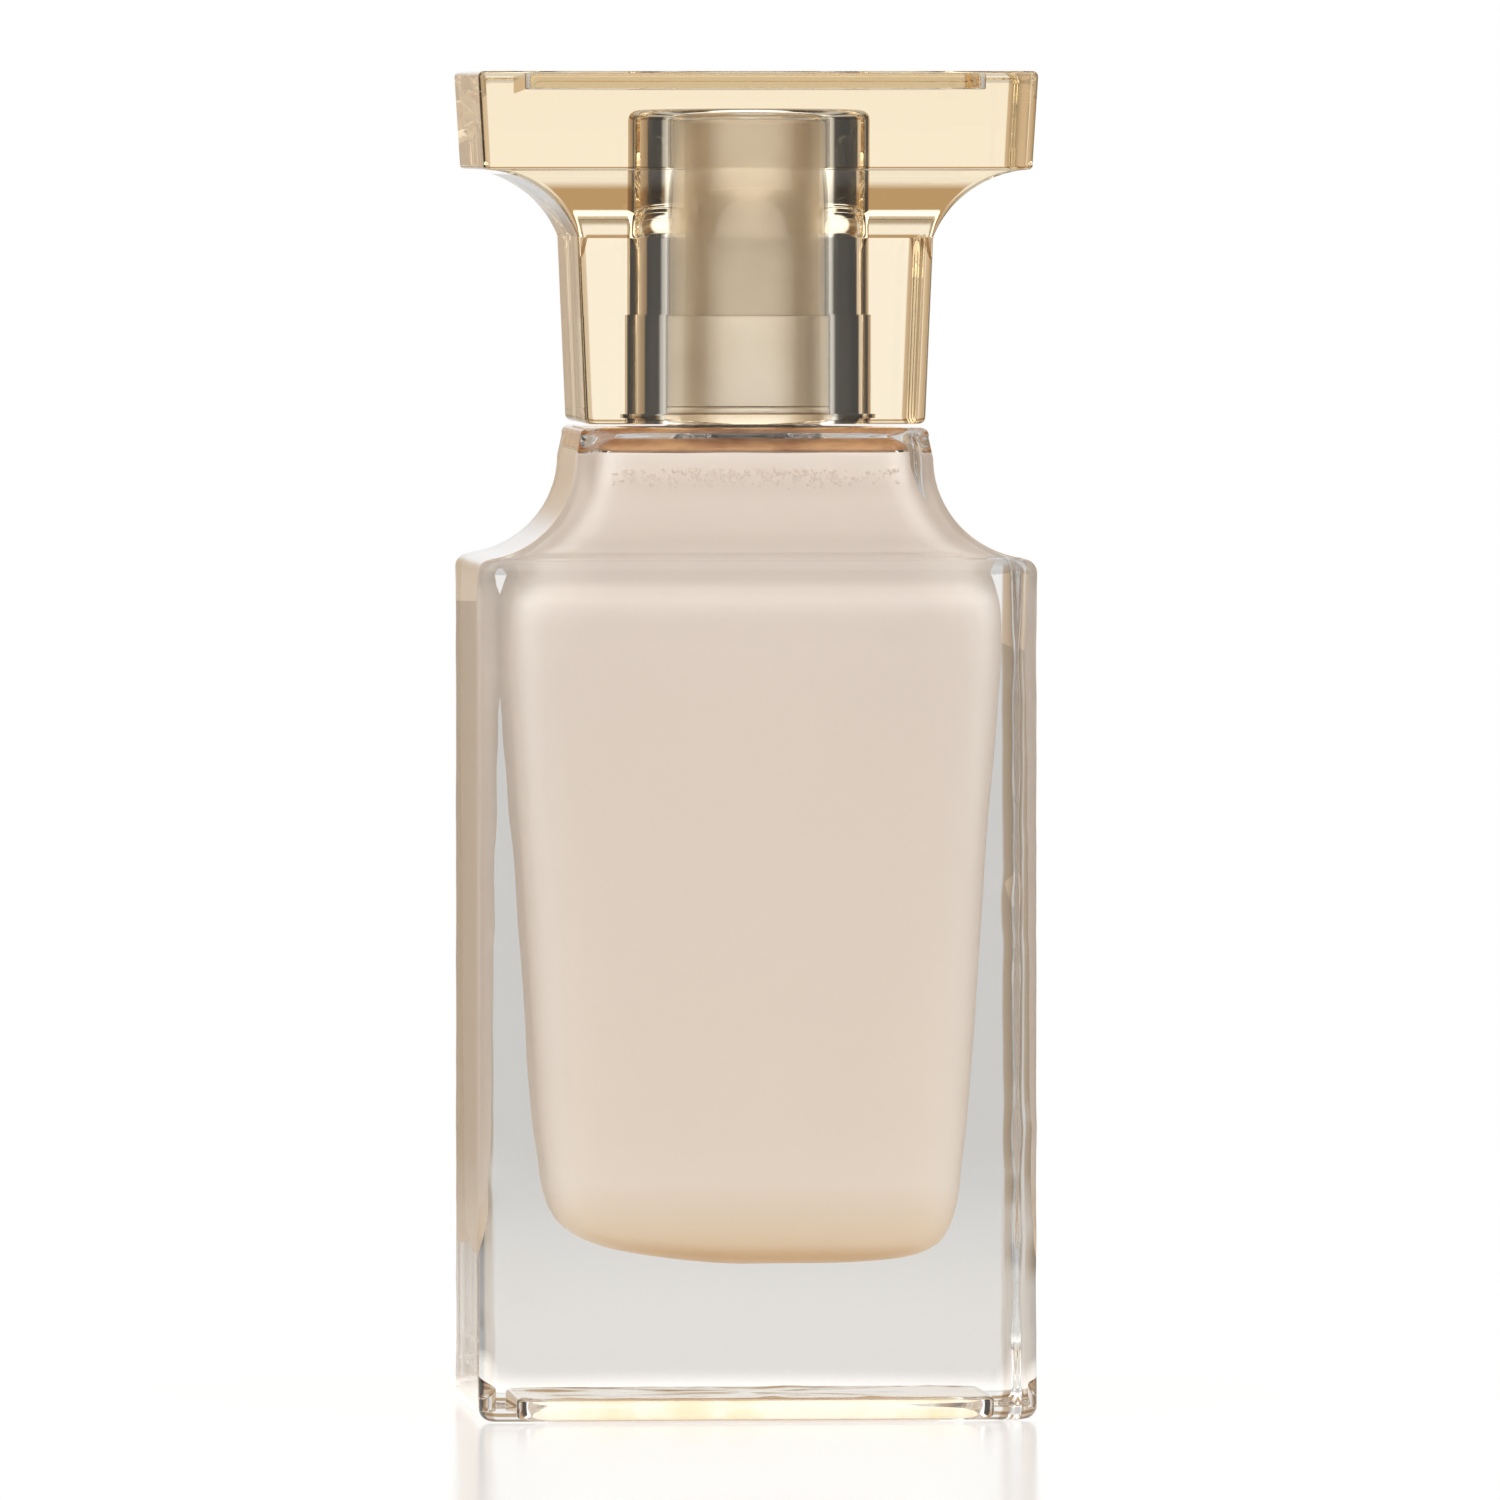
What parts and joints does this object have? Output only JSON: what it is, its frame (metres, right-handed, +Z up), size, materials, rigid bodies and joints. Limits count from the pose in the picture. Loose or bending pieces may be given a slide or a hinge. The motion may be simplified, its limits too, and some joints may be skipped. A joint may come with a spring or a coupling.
{
  "type": "foundation bottle",
  "caption": "Rectangular thick-walled glass bottle of liquid foundation with hollow shoulders, metal-sheathed press pump and flared clear overcap.",
  "frame": {"origin": "middle of the base, on the surface the bottle stands on", "axes": "+Z up through the neck, +Y towards the nozzle side, so the plain front faces -Y"},
  "size_m": [0.0484, 0.033, 0.1165],
  "materials": {
    "bottle_glass": "clear thick flint glass, polished",
    "foundation": "opaque beige liquid foundation",
    "label": "plain pale gold film",
    "gasket_foam": "soft white foam",
    "pump_plastic": "natural white moulded",
    "tube_plastic": "translucent extruded",
    "steel": "drawn stainless",
    "champagne_metal": "satin champagne gold anodised",
    "cream_plastic": "cream moulded",
    "cap_acrylic": "clear acrylic with a light honey tint",
    "plate_acrylic": "clear acrylic inlay",
    "ring_metal": "polished silver-gold"
  },
  "bodies": {
    "bottle": {"glass_bottle": "bottle_glass", "foundation_fill": "foundation", "shade_label": "label"},
    "pump": {"neck_gasket": "gasket_foam", "pump_housing": "pump_plastic", "stem_guide": "pump_plastic", "dip_tube": "tube_plastic", "return_spring": "steel"},
    "inlet_valve": {"inlet_ball": "steel"},
    "stem": {"pump_stem": "pump_plastic", "pump_piston": "pump_plastic"},
    "outlet_valve": {"outlet_ball": "steel"},
    "actuator": {"actuator_insert": "cream_plastic", "actuator_shell": "champagne_metal", "nozzle_insert": "cream_plastic"},
    "collar": {"threaded_closure": "pump_plastic", "collar_shell": "champagne_metal"},
    "cap": {"overcap": "cap_acrylic", "cap_top_plate": "plate_acrylic", "cap_retaining_ring": "ring_metal"}
  },
  "joints": [
    {"name": "pump_rise", "type": "slide", "parent": "bottle", "child": "pump", "axis": [0, 0, 1], "range_m": [0, 0.0045]},
    {"name": "collar_unscrew", "type": "hinge", "parent": "pump", "child": "collar", "pos_m": [0, 0, 0.09], "axis": [0, 0, 1], "range_deg": [0, 540]},
    {"name": "cap_lift", "type": "slide", "parent": "pump", "child": "cap", "axis": [0, 0, 1], "range_m": [0, 0.035]},
    {"name": "pump_press", "type": "slide", "parent": "pump", "child": "stem", "axis": [0, 0, -1], "range_m": [0, 0.0042], "stiffness_N_per_m": 1200, "springref_m": -0.003, "deforming": ["return_spring"]},
    {"name": "actuator_turn", "type": "hinge", "parent": "stem", "child": "actuator", "pos_m": [0, 0, 0.105], "axis": [0, 0, 1], "continuous": true},
    {"name": "inlet_valve_lift", "type": "slide", "parent": "pump", "child": "inlet_valve", "axis": [0, 0, 1], "range_m": [0, 0.0005]},
    {"name": "outlet_valve_lift", "type": "slide", "parent": "stem", "child": "outlet_valve", "axis": [0, 0, 1], "range_m": [0, 0.001]}
  ],
  "couplings": [
    {"joint": "collar_unscrew", "follows": "pump_rise", "rad_per_m": 2094.4}
  ]
}
